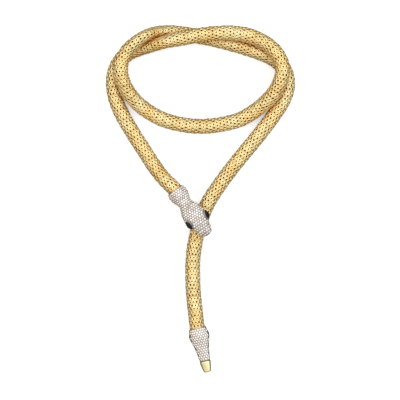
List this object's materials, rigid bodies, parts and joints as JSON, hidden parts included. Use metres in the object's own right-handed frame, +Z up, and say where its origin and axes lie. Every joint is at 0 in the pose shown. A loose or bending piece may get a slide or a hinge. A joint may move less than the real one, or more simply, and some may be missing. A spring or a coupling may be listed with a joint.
{
  "type": "snake necklace",
  "caption": "Snake-shaped lariat necklace of woven mesh chain with a crystal-set head and tail, lying flat in its double wrap.",
  "frame": {"origin": "middle of the footprint, on the surface that the necklace lies on", "axes": "+Z up from the surface, +Y towards the top of the two wraps, so the tail end hangs down -Y, +X to the right of the picture"},
  "size_m": [0.151, 0.2783, 0.0253],
  "materials": {
    "gold_mesh": "polished woven mesh",
    "gold_metal": "polished",
    "white_metal": "polished",
    "crystal": "cut and polished",
    "black_stone": "cut and polished"
  },
  "bodies": {
    "root": {"chain_head_half": "gold_mesh", "chain_tail_half": "gold_mesh", "head_shell": "white_metal", "head_stones": "crystal", "eye_left": "black_stone", "eye_right": "black_stone", "slide_loop": "gold_metal", "tail_cap": "white_metal", "tail_stones": "crystal", "tail_tip": "gold_metal"}
  },
  "joints": []
}
